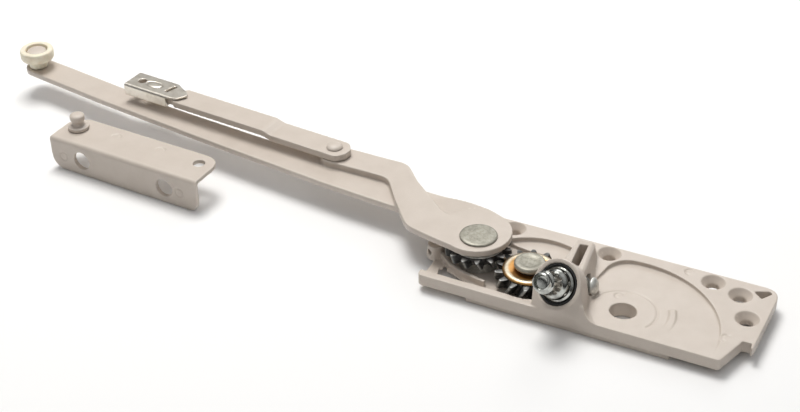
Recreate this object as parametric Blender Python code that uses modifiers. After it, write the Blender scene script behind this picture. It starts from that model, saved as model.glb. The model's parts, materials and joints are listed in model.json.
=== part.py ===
"""Split-arm casement window operator with its loose sash stud bracket.

Frame: +X along the base to the right, +Y to the sash side, +Z up, origin in the
middle of the flat underside.  Driving dimensions are in millimetres; the helpers
below turn them into metres.
"""
import math
import bmesh
import bpy
from mathutils import Matrix, Vector

MM = 0.001
OBJECT_NAME = "casement_operator"

# base casting
BASE_LENGTH = 132.0
BASE_WIDTH = 50.0
BASE_TOP = 7.3
SKIRT_BOTTOM = 2.2
TRAY_FLOOR = 3.4
SCREW_HOLE_R = 2.5
SCREW_SINK_R = 4.75
SCREW_HOLES = [(-43.5, 20.0), (-2.4, 20.0), (40.6, 19.6), (52.5, 16.1), (59.0, 3.1)]

# pivots, gears and the worm
ARM_PIVOT = (-49.6, -2.5)
IDLER_PIVOT = (-25.45, -7.15)
GEAR_TEETH = 14
GEAR_TIP_R = 13.9
ARM_GEAR_TIP_R = 13.5
GEAR_ROOT_R = 10.4
TOOTH_TIP = 1.2
TOOTH_ROOT = 3.1
HELIX_ANGLE = math.radians(27.0)
MESH_HEIGHT = 8.8
IDLER_Z = (4.6, 10.2)
ARM_GEAR_Z = (9.2, 12.2)
POST_R = 4.4
RING_R = 10.0
MOUTH_R = 8.3
RING_CENTRE = Vector((-9.3, -19.7, 17.0))
SHAFT_RISE = math.radians(35.0)
SHAFT_LEAN = math.radians(11.0)
WORM_PITCH = 4.92
WORM_TIP_R = 6.3
WORM_ROOT_R = 4.0
WORM_PHASE = math.radians(42.0)
WORM_SPAN = (-18.0, -7.5)

# arms
PLATE_TOP = 16.0
PLATE_THICK = 2.8
LONG_ARM_TOP = 12.9
HEAD_CENTRE = (-51.9, 0.8)
HEAD_R = 14.3
LINK_PIVOT = (-130.5, 26.7)
S_ARM_WIDTH = 12.8
ROLLER_CENTRE = (-298.0, 39.3)

# link and its snap clip
LINK_ANGLE = math.radians(180.0 - 4.9)
LINK_LENGTH = 110.0
LINK_WIDTH = 12.0
LINK_Z = (16.3, 19.3)
LINK_RAISE = 1.3
TONGUE_WIDTH = 9.6
LINK_NECK = 83.0
CLIP_RANGE = (79.0, 110.9)
CLIP_WIDTH = 12.6
CLIP_Z = (16.6, 22.0)
CLIP_WALL = 0.9

# sash bracket
BRACKET_ORIGIN = (-249.5, -13.5)
BRACKET_TURN = -math.atan2(3.8, 76.1)
BRACKET_LENGTH = 78.5
BRACKET_DEPTH = 20.0
BRACKET_HEIGHT = 15.5
BRACKET_THICK = 2.0
STUD_ALONG = (4.9, 11.4)
STUD_TOP = 23.0

PAINT = ((0.73, 0.66, 0.58), 0.48, 0.0)
ZINC = ((0.62, 0.63, 0.58), 0.38, 0.9)
STEEL = ((0.16, 0.16, 0.155), 0.42, 0.85)
CHROME = ((0.72, 0.72, 0.72), 0.16, 1.0)
NICKEL = ((0.56, 0.54, 0.49), 0.27, 1.0)
BRASS = ((0.72, 0.43, 0.18), 0.3, 0.95)
NYLON = ((0.90, 0.86, 0.72), 0.45, 0.0)
RUBBER = ((0.03, 0.03, 0.03), 0.6, 0.0)


# ---------------------------------------------------------------- helpers

def clear_scene():
    for obj in list(bpy.context.scene.objects):
        bpy.data.objects.remove(obj, do_unlink=True)


def make_collection(name):
    collection = bpy.data.collections.new(name)
    bpy.context.scene.collection.children.link(collection)
    return collection


clear_scene()
PARTS = make_collection(OBJECT_NAME)
CUTTERS = make_collection("cutters")


def set_material(obj, finish):
    colour, roughness, metallic = finish
    material = bpy.data.materials.new(obj.name + "_finish")
    material.use_nodes = True
    shader = material.node_tree.nodes["Principled BSDF"]
    shader.inputs["Base Color"].default_value = (*colour, 1.0)
    shader.inputs["Roughness"].default_value = roughness
    shader.inputs["Metallic"].default_value = metallic
    obj.data.materials.clear()
    obj.data.materials.append(material)


def add_object(name, mesh, finish=None):
    """Put a mesh in the scene: a part when it has a finish, otherwise a cutter."""
    obj = bpy.data.objects.new(name, mesh)
    if finish is None:
        CUTTERS.objects.link(obj)
        obj.hide_render = True
        obj.display_type = 'WIRE'
        return obj
    PARTS.objects.link(obj)
    set_material(obj, finish)
    return obj


def smooth(obj, degrees=35.0):
    obj.data.shade_smooth()
    obj.data.set_sharp_from_angle(angle=math.radians(degrees))


def circle(centre, radius, count=32, start=0.0, end=2.0 * math.pi):
    """Points along an arc; a full circle leaves out its repeated last point."""
    full = abs(end - start) > 2.0 * math.pi - 1e-6
    steps = count if full else count - 1
    return [(centre[0] + radius * math.cos(start + (end - start) * i / steps),
             centre[1] + radius * math.sin(start + (end - start) * i / steps))
            for i in range(count)]


def rounded(corners, segments=5):
    """Outline through (x, y, radius) corners with each corner turned into an arc."""
    points = []
    total = len(corners)
    for i, (x, y, radius) in enumerate(corners):
        here = Vector((x, y))
        back = Vector(corners[i - 1][:2]) - here
        ahead = Vector(corners[(i + 1) % total][:2]) - here
        if radius <= 0.0:
            points.append((x, y))
            continue
        half = back.angle(ahead) / 2.0
        reach = min(radius / math.tan(half), 0.49 * back.length, 0.49 * ahead.length)
        start = here + back.normalized() * reach
        finish = here + ahead.normalized() * reach
        for k in range(segments + 1):
            t = k / segments
            point = start * (1 - t) ** 2 + here * 2 * t * (1 - t) + finish * t ** 2
            points.append((point.x, point.y))
    return points


def slab_mesh(name, outline, low, high, holes=()):
    """Flat outline with holes, filled and extruded, as a closed mesh."""
    curve = bpy.data.curves.new(name, 'CURVE')
    curve.dimensions = '2D'
    curve.fill_mode = 'BOTH'
    curve.extrude = (high - low) / 2.0 * MM
    for ring in (outline, *holes):
        spline = curve.splines.new('POLY')
        spline.points.add(len(ring) - 1)
        for point, (x, y) in zip(spline.points, ring):
            point.co = (x * MM, y * MM, 0.0, 1.0)
        spline.use_cyclic_u = True
    guide = bpy.data.objects.new(name + "_curve", curve)
    CUTTERS.objects.link(guide)
    guide.location.z = (low + high) / 2.0 * MM
    bpy.context.view_layer.update()
    evaluated = guide.evaluated_get(bpy.context.evaluated_depsgraph_get())
    mesh = bpy.data.meshes.new_from_object(evaluated)
    mesh.transform(guide.matrix_world)
    bpy.data.objects.remove(guide, do_unlink=True)
    shell = bmesh.new()
    shell.from_mesh(mesh)
    bmesh.ops.remove_doubles(shell, verts=shell.verts, dist=1e-6)
    bmesh.ops.recalc_face_normals(shell, faces=shell.faces)
    shell.to_mesh(mesh)
    shell.free()
    mesh.name = name
    return mesh


def slab(name, outline, low, high, finish=None, holes=()):
    return add_object(name, slab_mesh(name, outline, low, high, holes), finish)


def turned(name, profile, finish=None, steps=40, closed=False):
    """Screw a (radius, height) profile about Z; it runs down the outer side."""
    mesh = bpy.data.meshes.new(name)
    verts = [(r * MM, 0.0, z * MM) for r, z in profile]
    edges = [(i, i + 1) for i in range(len(profile) - 1)]
    if closed:
        edges.append((len(profile) - 1, 0))
    mesh.from_pydata(verts, edges, [])
    obj = add_object(name, mesh, finish)
    screw = obj.modifiers.new("turn", 'SCREW')
    screw.axis = 'Z'
    screw.angle = 2.0 * math.pi
    screw.steps = steps
    screw.render_steps = steps
    screw.use_merge_vertices = True
    screw.merge_threshold = 0.00001
    return obj


def rod_mesh(name, radius, low, high, steps=32, top_radius=None):
    """Closed cylinder or cone along Z."""
    solid = bmesh.new()
    bmesh.ops.create_cone(solid, cap_ends=True, segments=steps, radius1=radius * MM,
                          radius2=(top_radius or radius) * MM, depth=(high - low) * MM,
                          matrix=Matrix.Translation((0.0, 0.0, (low + high) / 2.0 * MM)))
    mesh = bpy.data.meshes.new(name)
    solid.to_mesh(mesh)
    solid.free()
    return mesh


def rod(name, centre, radius, low, high, finish=None, steps=32, top_radius=None):
    mesh = rod_mesh(name, radius, low, high, steps, top_radius)
    obj = add_object(name, mesh, finish)
    obj.location = (centre[0] * MM, centre[1] * MM, 0.0)
    return obj


def block(name, low, high):
    """Box cutter between two corners."""
    solid = bmesh.new()
    bmesh.ops.create_cube(solid, size=1.0)
    for vert in solid.verts:
        vert.co = Vector([(low[i] if vert.co[i] < 0 else high[i]) * MM for i in range(3)])
    mesh = bpy.data.meshes.new(name)
    solid.to_mesh(mesh)
    solid.free()
    return add_object(name, mesh)


def boolean(obj, tool, operation='DIFFERENCE'):
    modifier = obj.modifiers.new(tool.name, 'BOOLEAN')
    modifier.operation = operation
    modifier.solver = 'EXACT'
    modifier.object = tool
    return modifier


def bevel(obj, width, segments=2, limit=40.0):
    modifier = obj.modifiers.new("edges", 'BEVEL')
    modifier.width = width * MM
    modifier.segments = segments
    modifier.limit_method = 'ANGLE'
    modifier.angle_limit = math.radians(limit)


def loft(name, sections, finish=None):
    """Closed skin through a list of equally long point rings."""
    skin = bmesh.new()
    rings = [[skin.verts.new(Vector(p) * MM) for p in ring] for ring in sections]
    count = len(rings[0])
    for near, far in zip(rings, rings[1:]):
        for i in range(count):
            j = (i + 1) % count
            skin.faces.new((near[i], near[j], far[j], far[i]))
    skin.faces.new(list(reversed(rings[0])))
    skin.faces.new(rings[-1])
    bmesh.ops.recalc_face_normals(skin, faces=skin.faces)
    mesh = bpy.data.meshes.new(name)
    skin.to_mesh(mesh)
    skin.free()
    return add_object(name, mesh, finish)


def shaft_matrix(along=0.0):
    """Frame whose Z runs outward along the crank shaft, at a distance from the ring."""
    outward = shaft_direction()
    side = Vector((0.0, 0.0, 1.0)).cross(outward).normalized()
    upward = outward.cross(side)
    matrix = Matrix((side, upward, outward)).transposed().to_4x4()
    matrix.translation = (RING_CENTRE + outward * along) * MM
    return matrix


def shaft_direction():
    level = math.cos(SHAFT_RISE)
    return Vector((-math.sin(SHAFT_LEAN) * level, -math.cos(SHAFT_LEAN) * level,
                   math.sin(SHAFT_RISE)))


def shaft_rod(name, radius, low, high, steps=36, top_radius=None):
    obj = add_object(name, rod_mesh(name, radius, low, high, steps, top_radius))
    obj.matrix_world = shaft_matrix()
    return obj


# ---------------------------------------------------------------- base

def base_outline(inset=0.0):
    half_x = BASE_LENGTH / 2.0 - inset
    half_y = BASE_WIDTH / 2.0 - inset
    return rounded([(-half_x, -half_y, 2.0), (57.0 - inset, -half_y, 1.5), (61.5 - inset, -10.5, 0.0),
                    (half_x, -10.5, 0.0), (half_x, half_y, 6.5), (-half_x, half_y, 4.0)])


def tower_section(y, middle, top_half, base_half, top):
    """Section of the worm housing: concave flanks and a rounded roof."""
    low = 4.4
    side = []
    for k in range(6):
        rise = k / 5.0
        side.append((top_half + (base_half - top_half) * (1.0 - rise) ** 2.2,
                     low + (top - 1.3 - low) * rise))
    side.append((top_half - 0.4, top - 0.5))
    side.append((top_half - 1.3, top))
    right = [(middle + x, y, z) for x, z in side]
    left = [(middle - x, y, z) for x, z in reversed(side)]
    return right + left


def make_hood():
    """Mouth of the worm housing: the ring drawn down onto the front of the base."""
    skin = bmesh.new()
    for radius, along in ((RING_R, 0.0), (RING_R, -1.2), (8.9, -8.0)):
        for point in circle((0.0, 0.0), radius, 40):
            skin.verts.new(shaft_matrix(along) @ (Vector((*point, 0.0)) * MM))
    for x, y in ((-17.5, -25.0), (4.5, -25.0), (2.2, -18.0), (1.4, -11.0), (-16.0, -12.0)):
        skin.verts.new(Vector((x, y, 5.0)) * MM)
    bmesh.ops.convex_hull(skin, input=skin.verts)
    bmesh.ops.dissolve_limit(skin, angle_limit=math.radians(0.5), verts=skin.verts, edges=skin.edges)
    bmesh.ops.recalc_face_normals(skin, faces=skin.faces)
    mesh = bpy.data.meshes.new("hood")
    skin.to_mesh(mesh)
    skin.free()
    return add_object("hood", mesh)


def make_flare():
    """Foot of the hood on its bay side, sweeping out along the front edge."""
    sections = []
    for z, reach, front in ((5.0, 9.5, -24.96), (7.3, 9.5, -24.96), (7.8, 7.4, -24.9), (8.5, 5.9, -24.7),
                            (9.6, 4.7, -24.4), (11.0, 3.8, -23.9), (12.6, 3.1, -23.3)):
        spread = (reach - 3.0) / 6.5
        sections.append([(-4.0, front, z), (reach, front, z), (reach - 1.0 - 1.6 * spread, front + 2.2, z),
                         (reach - 1.6 - 3.6 * spread, front + 5.4, z), (1.0, -14.5, z), (-4.0, -14.5, z)])
    return loft("flare", sections)


def make_base():
    base = slab("base_casting", base_outline(), SKIRT_BOTTOM, BASE_TOP, PAINT)
    pad = slab("underside_pad", rounded([(-45.5, -24.3, 1.0), (38.0, -24.3, 1.0), (38.0, 24.3, 1.0),
                                         (-45.5, 24.3, 1.0)], 3), 0.0, 3.0)
    boolean(base, pad, 'UNION')
    hook = block("corner_hook", (65.0, -13.2, 3.4), (66.0, -9.0, BASE_TOP))
    boolean(base, hook, 'UNION')

    # gear tray, open at the left end
    tray = slab("tray_cut", rounded([(-70.0, -21.2, 0.0), (-22.0, -21.6, 2.0), (-14.5, -19.0, 3.0),
                                     (-9.0, -8.0, 3.0), (-9.0, 4.0, 3.0), (-22.0, 9.5, 4.0),
                                     (-38.0, 11.5, 6.0), (-54.0, 16.0, 6.0), (-70.0, 13.0, 0.0)]),
                TRAY_FLOOR, 12.0)
    boolean(base, tray)
    shelf = slab("shelf_cut", circle(IDLER_PIVOT, 25.9, 24, math.radians(62), math.radians(178))
                 + [(-50.0, -7.0), (-14.0, -7.0)], 5.2, 12.0)
    boolean(base, shelf)
    groove = slab("groove_cut", rounded([(-62.0, -12.5, 1.0), (-57.5, -13.0, 1.0), (-46.0, -17.6, 1.0),
                                         (-46.0, -19.2, 1.0), (-60.5, -18.0, 1.0)], 3), 1.4, 6.0)
    boolean(base, groove)

    # wide shallow bay on the right, running out level with the front edge
    shoulder = rounded([(-1.2, 3.0, 0.0), (1.6, -8.0, 2.0), (0.5, -13.5, 4.0), (3.2, -19.0, 6.0),
                        (9.5, -25.5, 5.0),
                        (12.0, -34.0, 0.0)])
    bay = slab("bay_cut", [(54.2, -34.0)] + circle((13.5, -20.7), 40.7, 22, 0.0, math.radians(94.0))
               + circle((9.9, 9.8), 10.1, 8, math.radians(100.0), math.radians(176.0)) + shoulder, 0.0,
               6.0)
    bay.matrix_world = (Matrix.Translation((0.0, -25.0 * MM, BASE_TOP * MM))
                        @ Matrix.Rotation(math.radians(-2.4), 4, 'X')
                        @ Matrix.Translation((0.0, 25.0 * MM, 0.0)))
    boolean(base, bay)

    # worm housing
    tower = loft("tower", [tower_section(-15.0, -7.6, 5.6, 10.6, 18.4),
                           tower_section(-10.0, -7.6, 5.5, 10.6, 18.6),
                           tower_section(-6.0, -7.7, 5.2, 10.7, 18.0),
                           tower_section(2.0, -8.8, 4.6, 9.8, 16.6),
                           tower_section(10.0, -10.0, 4.2, 7.4, 15.2),
                           tower_section(15.0, -10.6, 3.9, 5.6, 14.0),
                           tower_section(17.0, -10.9, 3.5, 4.9, 12.8),
                           tower_section(19.8, -11.0, 2.6, 4.4, 8.2)])
    boolean(base, tower, 'UNION')
    boolean(base, make_hood(), 'UNION')
    boolean(base, make_flare(), 'UNION')
    window = add_object("window_cut", rod_mesh("window_cut", 4.3, 0.0, 6.6, steps=22))
    window.matrix_world = (Matrix.Translation((-4.0 * MM, -5.9 * MM, 8.9 * MM))
                           @ Matrix.Rotation(math.radians(77.0), 4, 'Y')
                           @ Matrix.Rotation(math.radians(7.0), 4, 'Z'))
    boolean(base, window)
    gear_room = rod("gear_room_cut", IDLER_PIVOT, 14.6, 3.6, 11.9, steps=48)
    boolean(base, gear_room)
    for name, radius, low, high in (("bore_cut", MOUTH_R, -4.0, 2.0), ("worm_room_cut", 7.0, -20.6, -3.0),
                                    ("journal_cut", 3.5, -23.2, -20.0)):
        boolean(base, shaft_rod(name, radius, low, high))
    boolean(base, slab("roof_slot_cut", [(-8.9, -6.6), (-5.6, -6.6), (-8.7, 12.4), (-11.9, 11.4)], 4.4,
                       22.0))

    # raised features
    rib = slab("tray_rib", [(-63.5, -5.5), (-57.2, -10.9), (-51.0, -13.5), (-43.6, -15.2), (-40.6, -15.7),
                            (-40.8, -17.0), (-44.0, -16.6), (-51.8, -14.9), (-58.2, -12.1), (-64.5, -6.7)],
               TRAY_FLOOR - 1.0, 6.2)
    boolean(base, rib, 'UNION')
    lug = rod("end_lug", (-67.2, -4.6), 4.0, SKIRT_BOTTOM, 8.8, steps=28, top_radius=3.5)
    boolean(base, lug, 'UNION')
    boolean(base, rod("arm_gear_room_cut", ARM_PIVOT, ARM_GEAR_TIP_R + 0.5, 7.0, 13.0, steps=48))
    lug_hole = add_object("lug_hole", rod_mesh("lug_hole", 1.1, 0.0, 5.0, steps=16))
    lug_hole.matrix_world = (Matrix.Translation((-68.8 * MM, -10.0 * MM, 5.7 * MM))
                             @ Matrix.Rotation(math.radians(-90.0), 4, 'X'))
    boolean(base, lug_hole)
    boolean(base, slab("bay_rib", circle((14.0, -11.7), 20.9, 9, math.radians(-22), math.radians(25))
                       + circle((14.0, -11.7), 18.5, 9, math.radians(25), math.radians(-22)),
                       5.0, 7.0), 'UNION')

    # through holes
    for index, centre in enumerate(SCREW_HOLES):
        boolean(base, rod(f"screw_hole_{index}", centre, SCREW_HOLE_R, -1.0, 12.0, steps=24))
        boolean(base, rod(f"screw_sink_{index}", centre, SCREW_HOLE_R, 4.6, BASE_TOP + 0.1,
                          top_radius=SCREW_SINK_R + 0.1, steps=32))
    boolean(base, rod("bay_hole", (15.0, -11.7), 5.2, -1.0, 12.0, steps=36))
    boolean(base, slab("corner_hole", [(56.6, 20.5), (62.0, 22.9), (63.4, 21.9), (60.4, 17.2)], -1.0,
                       12.0))
    boolean(base, slab("end_hole", [(-61.2, -9.6), (-60.2, -14.8), (-58.6, -14.6), (-58.9, -11.6)], -1.0,
                       5.0))
    for name, centre in (("arm_post_hole", ARM_PIVOT), ("idler_post_hole", IDLER_PIVOT)):
        boolean(base, rod(name, centre, 3.3, -1.0, 8.0, steps=28))

    # hollows in the underside, leaving ribs
    for index, (low, high) in enumerate((((3.5, -21.5), (8.0, 14.0)), ((22.5, -21.5), (35.0, 14.0)),
                                         ((41.0, -20.0), (53.5, 8.0)))):
        outline = rounded([(*low, 1.5), (high[0], low[1], 1.5), (*high, 1.5), (low[0], high[1], 1.5)], 3)
        boolean(base, slab(f"underside_pocket_{index}", outline, -1.0, 3.4))
    smooth(base, 30.0)
    return base


# ---------------------------------------------------------------- drive

def gear(name, centre, span, tip, phase, twist, bore, levels=5):
    """Helical gear: toothed rings turned a little at each level."""
    low, high = span
    pitch = 2.0 * math.pi / GEAR_TEETH
    rings = []
    for level in range(levels + 1):
        z = low + (high - low) * level / levels
        turn = phase + twist * (z - MESH_HEIGHT)
        ring = []
        for tooth in range(GEAR_TEETH):
            middle = turn + tooth * pitch
            mid_r = (tip + GEAR_ROOT_R) / 2.0
            mid_half = (TOOTH_TIP + TOOTH_ROOT) / 4.0 + 0.12
            flank = [(GEAR_ROOT_R, TOOTH_ROOT / 2.0), (mid_r, mid_half),
                     (tip - 0.25, TOOTH_TIP / 2.0 + 0.05),
                     (tip, TOOTH_TIP / 4.0)]
            corners = [(r, -w) for r, w in flank] + list(reversed(flank))
            for radius, offset in corners:
                angle = middle + offset / radius
                ring.append((centre[0] + radius * math.cos(angle), centre[1] + radius * math.sin(angle),
                             z))
        rings.append(ring)
    body = loft(name, rings, STEEL)
    boolean(body, rod(name + "_bore", centre, bore, low - 2.0, high + 2.0))
    smooth(body, 30.0)
    return body


def make_gears():
    across = math.atan2(IDLER_PIVOT[1] - ARM_PIVOT[1], IDLER_PIVOT[0] - ARM_PIVOT[0])
    pitch = 2.0 * math.pi / GEAR_TEETH
    twist = math.tan(HELIX_ANGLE) / (0.5 * math.dist(ARM_PIVOT, IDLER_PIVOT))
    gear("idler_gear", IDLER_PIVOT, IDLER_Z, GEAR_TIP_R, 0.0, twist, POST_R + 0.35)
    gap_at_mesh = (across + math.pi) / pitch
    arm_phase = across + pitch * (gap_at_mesh - 0.5)
    gear("arm_gear", ARM_PIVOT, ARM_GEAR_Z, ARM_GEAR_TIP_R, arm_phase, -twist, POST_R + 0.35)


def make_worm_shaft():
    """Crank shaft: splined stud outside the housing, single-start worm inside."""
    around = 30
    low, high = WORM_SPAN
    rows = 38
    rings = [[(3.1, -22.7)] * around, [(3.1, -20.4)] * around, [(WORM_ROOT_R - 0.1, -20.4)] * around,
             [(WORM_ROOT_R - 0.1, low - 0.4)] * around]
    for row in range(rows + 1):
        s = low + (high - low) * row / rows
        fade = min(1.0, row / 3.0, (rows - row) / 3.0)
        ring = []
        for i in range(around):
            theta = 2.0 * math.pi * i / around
            phase = (s / WORM_PITCH + (theta - WORM_PHASE) / (2.0 * math.pi) + 0.5) % 1.0 - 0.5
            flank = (abs(phase) * WORM_PITCH - 0.6) / 0.7
            height = (WORM_TIP_R - WORM_ROOT_R) * min(1.0, max(0.0, 1.0 - flank))
            ring.append((WORM_ROOT_R + fade * height, s))
        rings.append(ring)
    plain = [(4.6, high + 0.6), (4.6, -5.6), (6.9, -5.6), (6.9, -3.4), (5.9, -3.0), (5.9, -0.6),
             (6.1, 0.4), (5.9, 2.2), (5.0, 4.4)]
    rings += [[point] * around for point in plain]
    for s, depth in ((4.7, 0.0), (5.4, 1.0), (10.6, 1.0), (11.2, 0.0)):
        ring = []
        for i in range(around):
            ring.append((4.45 - 0.55 * depth * (i % 3 == 0), s))
        rings.append(ring)
    rings += [[(4.0, 11.8)] * around, [(3.7, 12.2)] * around, [(3.7, 13.9)] * around,
              [(3.2, 14.3)] * around,
              [(1.6, 14.3)] * around, [(1.3, 13.2)] * around]
    sections = []
    for ring in rings:
        sections.append([(r * math.cos(2.0 * math.pi * i / around),
                          r * math.sin(2.0 * math.pi * i / around), s)
                         for i, (r, s) in enumerate(ring)])
    shaft = loft("crank_shaft", sections, CHROME)
    shaft.matrix_world = shaft_matrix()
    smooth(shaft, 40.0)


def make_drive_fittings():
    collar = turned("thrust_collar", [(5.6, -18.7), (5.6, -19.6), (5.1, -20.1), (4.25, -20.1),
                                      (4.25, -18.7)],
                    ZINC, closed=True)
    collar.matrix_world = shaft_matrix()
    smooth(collar)
    bushing = turned("shaft_bushing", [(8.0, -1.6), (8.0, -3.6), (7.3, -3.6), (7.3, -2.9), (6.4, -2.6),
                                       (6.4, -1.6)],
                     STEEL, closed=True)
    bushing.matrix_world = shaft_matrix()
    smooth(bushing)
    seal = turned("shaft_seal", [(8.0, -0.3), (8.0, -1.3), (7.0, -1.3), (6.9, -0.9), (7.0, -0.5),
                                 (7.5, 0.0)],
                  RUBBER, closed=True)
    seal.matrix_world = shaft_matrix()
    smooth(seal)

    post = turned("arm_pivot_post", [(0.0, 17.15), (6.3, 17.15), (7.3, 16.9), (7.7, 16.5), (7.6, 16.3),
                                     (4.4, 16.3),
                                     (4.4, 3.8), (3.0, 3.8), (3.0, 0.6), (0.0, 0.6)], ZINC)
    post.location = (ARM_PIVOT[0] * MM, ARM_PIVOT[1] * MM, 0.0)
    smooth(post)
    idler = turned("idler_pivot_post", [(0.0, 14.15), (3.4, 14.15), (4.2, 14.5), (5.5, 14.5), (6.2, 14.0),
                                        (6.3, 12.5), (4.4, 12.3), (4.4, 3.8), (3.0, 3.8), (3.0, 0.6),
                                        (0.0, 0.6)],
                   ZINC)
    idler.location = (IDLER_PIVOT[0] * MM, IDLER_PIVOT[1] * MM, 0.0)
    smooth(idler)
    washer = turned("thrust_washer", [(9.0, 11.45), (9.8, 11.3), (10.5, 10.9), (10.85, 10.6), (10.7, 10.5),
                                      (4.8, 10.5),
                                      (4.8, 10.9), (6.6, 10.9), (7.6, 11.1)], BRASS, closed=True)
    washer.location = idler.location
    smooth(washer, 50.0)
    for name, centre, high in (("idler_floor_washer", IDLER_PIVOT, IDLER_Z[0] - 0.3),
                               ("arm_floor_washer", ARM_PIVOT, ARM_GEAR_Z[0] - 0.3)):
        low = 3.9 if centre is IDLER_PIVOT else TRAY_FLOOR + 0.3
        ring = turned(name, [(8.4, high), (8.4, low), (4.8, low), (4.8, high)], ZINC, closed=True)
        ring.location = (centre[0] * MM, centre[1] * MM, 0.0)
        smooth(ring)
    spacer = turned("arm_spacer", [(10.6, 12.9), (10.6, 12.5), (4.8, 12.5), (4.8, 12.9)], ZINC,
                    closed=True)
    spacer.location = (ARM_PIVOT[0] * MM, ARM_PIVOT[1] * MM, 0.0)
    smooth(spacer)


# ---------------------------------------------------------------- arms

def make_short_arm():
    """Top plate: round head on the pivot, S-bend, and a round end for the link."""
    end_r = S_ARM_WIDTH / 2.0
    head = circle(HEAD_CENTRE, HEAD_R, 26, math.radians(-112.0), math.radians(163.0))
    back = rounded([(-66.0, 4.8, 0.0), (-71.6, 7.7, 3.0), (-89.0, 22.9, 4.0), (-98.5, 33.0, 9.0),
                    (-112.0, 33.1, 0.0)])
    end = circle(LINK_PIVOT, end_r + 0.1, 14, math.radians(88.0), math.radians(268.0))
    front = rounded([(-112.0, 20.2, 0.0), (-101.5, 19.9, 8.0), (-91.0, 6.2, 6.0), (-79.5, -7.6, 12.0),
                     (-68.0, -10.4, 0.0)])
    arm = slab("short_arm", head + back + end + front, PLATE_TOP - PLATE_THICK, PLATE_TOP, PAINT,
               holes=[circle(ARM_PIVOT, POST_R + 0.35), circle(LINK_PIVOT, 2.4, 24)])
    smooth(arm)


def make_long_arm():
    """Long flat arm; its root climbs beside the S-bend to the level of the head."""
    low = LONG_ARM_TOP - PLATE_THICK
    seam = circle(HEAD_CENTRE, HEAD_R + 0.3, 12, math.radians(160.0), math.radians(84.0))
    outline = ([(-50.0, 15.5), (-55.4, 17.1), (-62.5, 19.2), (-68.5, 20.4), (-75.0, 21.3), (-85.0, 21.7),
                (-120.0, 24.9),
                (-167.0, 29.0), (-207.0, 32.8), (-221.0, 34.4), (-252.5, 39.7), (-284.0, 44.8)]
               + circle((ROLLER_CENTRE[0], ROLLER_CENTRE[1] + 0.9), 6.6, 12, math.radians(82.0),
                        math.radians(256.0))
               + [(-280.0, 30.5), (-254.0, 26.1), (-185.0, 16.4), (-126.5, 9.0), (-110.0, 7.5),
                  (-90.0, 5.9),
                  (-84.5, 5.7), (-83.0, 8.0), (-81.0, 16.4), (-71.4, 8.1)] + seam)
    arm = slab("long_arm", outline, low, LONG_ARM_TOP, PAINT, holes=[circle(ROLLER_CENTRE, 2.4, 24)])
    shell = bmesh.new()
    shell.from_mesh(arm.data)
    for radius in range(15, 32, 2):
        for angle in range(85, 170, 12):
            normal = Vector((math.cos(math.radians(angle)), math.sin(math.radians(angle)), 0.0))
            if angle == 121:
                bmesh.ops.bisect_plane(shell, geom=shell.verts[:] + shell.edges[:] + shell.faces[:],
                                       plane_co=(Vector((*HEAD_CENTRE, 0.0)) + normal * radius) * MM,
                                       plane_no=normal)
    rise = PLATE_TOP - LONG_ARM_TOP
    for vert in shell.verts:
        away = math.hypot(vert.co.x / MM - HEAD_CENTRE[0], vert.co.y / MM - HEAD_CENTRE[1])
        climb = min(1.0, max(0.0, (31.0 - away) / (31.0 - HEAD_R - 1.2)))
        vert.co.z += rise * MM * climb
    bmesh.ops.triangulate(shell, faces=shell.faces)
    shell.to_mesh(arm.data)
    shell.free()
    smooth(arm)


def make_roller():
    roller = turned("roller", [(5.2, 22.4), (7.0, 22.4), (7.6, 22.1), (7.85, 21.5), (7.85, 18.6),
                               (7.5, 17.8),
                               (6.6, 17.2), (4.6, 16.8), (4.3, 13.5), (3.4, 13.5), (3.4, 19.8),
                               (5.0, 20.1)],
                    NYLON, closed=True)
    rivet = turned("roller_rivet", [(0.0, 22.3), (3.4, 22.1), (4.4, 21.6), (4.6, 20.9), (3.0, 20.5),
                                    (3.0, 13.2),
                                    (2.1, 13.2), (2.1, 10.0), (0.0, 10.0)], PAINT)
    for obj in (roller, rivet):
        obj.location = (ROLLER_CENTRE[0] * MM, ROLLER_CENTRE[1] * MM, 0.0)
        smooth(obj)


# ---------------------------------------------------------------- link and clip

def link_matrix():
    matrix = Matrix.Rotation(LINK_ANGLE, 4, 'Z')
    matrix.translation = Vector((LINK_PIVOT[0], LINK_PIVOT[1], 0.0)) * MM
    return matrix


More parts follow.
